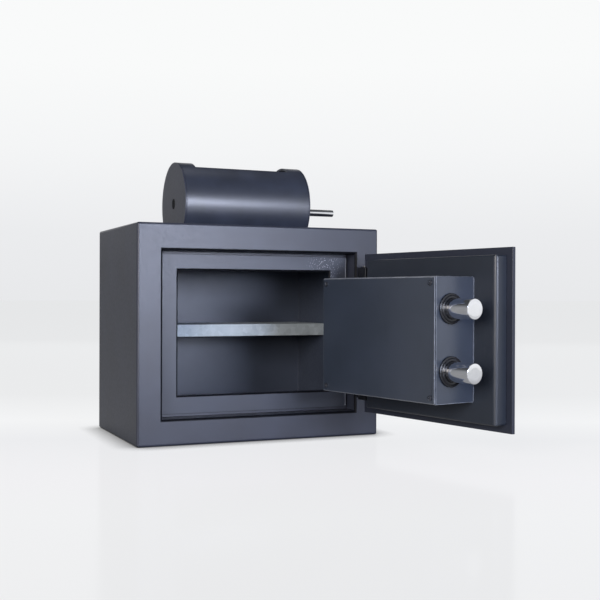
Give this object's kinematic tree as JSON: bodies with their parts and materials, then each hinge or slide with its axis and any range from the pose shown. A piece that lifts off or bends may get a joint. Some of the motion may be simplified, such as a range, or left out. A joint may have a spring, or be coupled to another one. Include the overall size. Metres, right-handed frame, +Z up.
{
  "type": "deposit safe with rotary drum hopper",
  "caption": "Small dark grey steel deposit safe with an open inset door, round bolts, a shelf inside and a rotary drum hopper on the roof.",
  "frame": {"origin": "middle of the underside of the body", "axes": "+Z up, -Y towards the user who faces the door opening, +X to that user's right, the hinge side"},
  "size_m": [0.4017, 0.5502, 0.3995],
  "materials": {
    "powder_coat": "semi-matt anthracite powder coat on sheet steel",
    "inside_coat": "thin anthracite powder coat on sheet steel",
    "galvanised": "zinc-coated sheet steel",
    "chrome": "bright chrome plate",
    "steel": "zinc-plated steel",
    "brass": "turned brass",
    "black_plastic": "moulded black plastic",
    "filling": "light mineral filling, sealed inside the walls"
  },
  "bodies": {
    "body": {"outer_shell": "powder_coat", "wall_filling": "filling", "inner_liner": "inside_coat", "door_frame": "powder_coat", "shelf": "galvanised", "shelf_ledge_left": "inside_coat", "shelf_ledge_right": "inside_coat", "anchor_plug_left": "black_plastic", "anchor_plug_right": "black_plastic", "drop_chute": "inside_coat", "antifish_comb_front": "galvanised", "antifish_comb_rear": "galvanised", "hopper_hood": "powder_coat", "hopper_end_left": "powder_coat", "hopper_end_right": "powder_coat", "drum_pivot_screw": "powder_coat", "drum_bearing_right": "brass", "hinge_bracket_lower": "powder_coat", "hinge_bracket_upper": "powder_coat", "hinge_pin_lower": "steel", "hinge_pin_upper": "steel"},
    "drum": {"drum_shell": "inside_coat", "drum_end_left": "inside_coat", "drum_end_right": "inside_coat", "drum_bush_left": "brass", "drum_handle": "chrome"},
    "door": {"hinge_leaf_lower": "powder_coat", "hinge_leaf_upper": "powder_coat", "door_plate": "powder_coat", "door_pan": "powder_coat", "door_core": "filling", "hinge_side_bar": "powder_coat", "lock_case": "powder_coat", "lock_case_cover": "powder_coat", "cover_screw_1": "steel", "cover_screw_2": "steel", "cover_screw_3": "steel", "cover_screw_4": "steel", "spindle_bush": "brass", "handle_rose": "chrome", "lock_body": "steel", "keyhole_escutcheon": "chrome", "cover_rivet": "steel", "bolt_guide_lower": "black_plastic", "bolt_guide_upper": "black_plastic"},
    "bolts": {"bolt_lower": "chrome", "bolt_upper": "chrome", "bolt_bar": "steel", "bolt_yoke": "steel", "yoke_screw_1": "steel", "yoke_screw_2": "steel"},
    "handle": {"handle_spindle": "steel", "drive_arm": "steel", "handle_knob": "black_plastic", "knob_cap": "chrome"},
    "key": {"key_plug": "chrome", "key_cam": "steel"},
    "lock_catch": {"lock_bolt": "brass"},
    "key_cover": {"keyhole_cover": "chrome"}
  },
  "joints": [
    {"name": "door_hinge", "type": "hinge", "parent": "body", "child": "door", "pos_m": [0.1573, -0.1268, 0.15], "axis": [0, 0, 1], "range_deg": [-101.2, 78.8]},
    {"name": "drum_turn", "type": "hinge", "parent": "body", "child": "drum", "pos_m": [0, 0, 0.3385], "axis": [-1, 0, 0], "range_deg": [0, 180]},
    {"name": "handle_turn", "type": "hinge", "parent": "door", "child": "handle", "pos_m": [0.17479, -0.29134, 0.15075], "axis": [-0.981, -0.1942, 0], "range_deg": [0, 90]},
    {"name": "bolt_slide", "type": "slide", "parent": "door", "child": "bolts", "axis": [-0.1942, 0.981, 0], "range_m": [0, 0.033]},
    {"name": "key_turn", "type": "hinge", "parent": "door", "child": "key", "pos_m": [0.16469, -0.24033, 0.13075], "axis": [0.981, 0.1942, 0], "range_deg": [0, 90]},
    {"name": "catch_slide", "type": "slide", "parent": "door", "child": "lock_catch", "axis": [0, 0, 1], "range_m": [0, 0.008]},
    {"name": "key_cover_swing", "type": "hinge", "parent": "door", "child": "key_cover", "pos_m": [0.16469, -0.24033, 0.15275], "axis": [0.981, 0.1942, 0], "range_deg": [-45, 90]}
  ],
  "couplings": [
    {"joint": "handle_turn", "follows": "bolt_slide", "rad_per_m": 47.599},
    {"joint": "catch_slide", "follows": "key_turn", "m_per_rad": 0.0050929}
  ]
}
